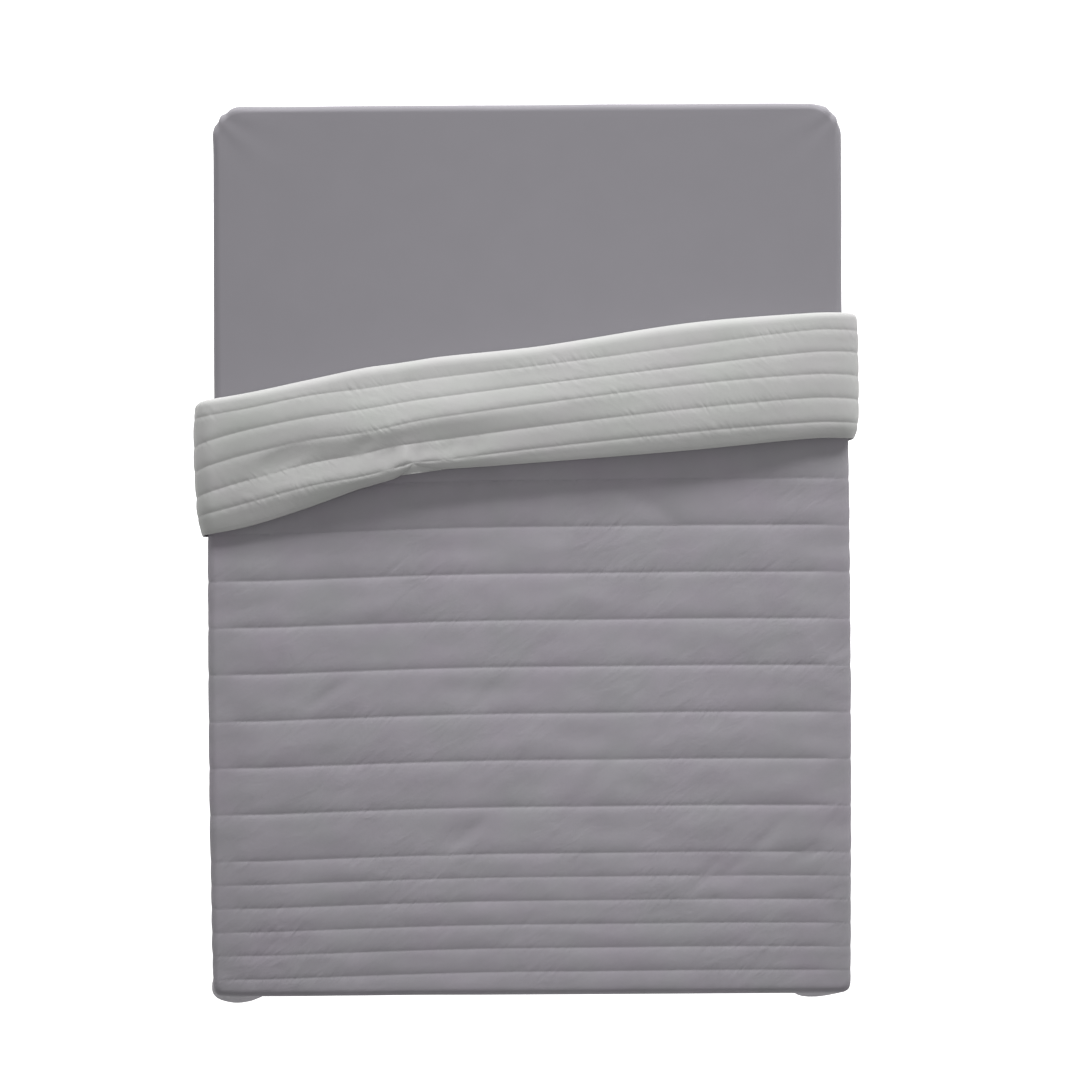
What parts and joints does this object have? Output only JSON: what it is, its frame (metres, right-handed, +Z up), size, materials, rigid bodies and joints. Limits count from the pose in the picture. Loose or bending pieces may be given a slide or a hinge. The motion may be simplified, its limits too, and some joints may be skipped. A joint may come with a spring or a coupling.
{
  "type": "quilted bedspread on a bed",
  "caption": "Channel-quilted two-tone bedspread draped over a plain double bed, its head end folded back on a slant.",
  "frame": {"origin": "on the floor under the middle of the bed, at the middle foot's flat underside", "axes": "+Y towards the head of the bed, +X to the right seen from the foot, +Z up"},
  "size_m": [1.479, 1.9957, 0.636],
  "materials": {
    "face_cloth": "soft matt brushed microfibre",
    "reverse_cloth": "soft matt brushed microfibre",
    "sheet_cloth": "smooth matt sheeting",
    "base_cloth": "plain woven upholstery",
    "foot_plastic": "satin moulded"
  },
  "bodies": {
    "root": {"quilt_face": "face_cloth", "quilt_reverse": "reverse_cloth", "mattress": "sheet_cloth", "base": "base_cloth", "foot_middle": "foot_plastic", "foot_head_left": "foot_plastic", "foot_head_right": "foot_plastic", "foot_end_left": "foot_plastic", "foot_end_right": "foot_plastic"}
  },
  "joints": []
}
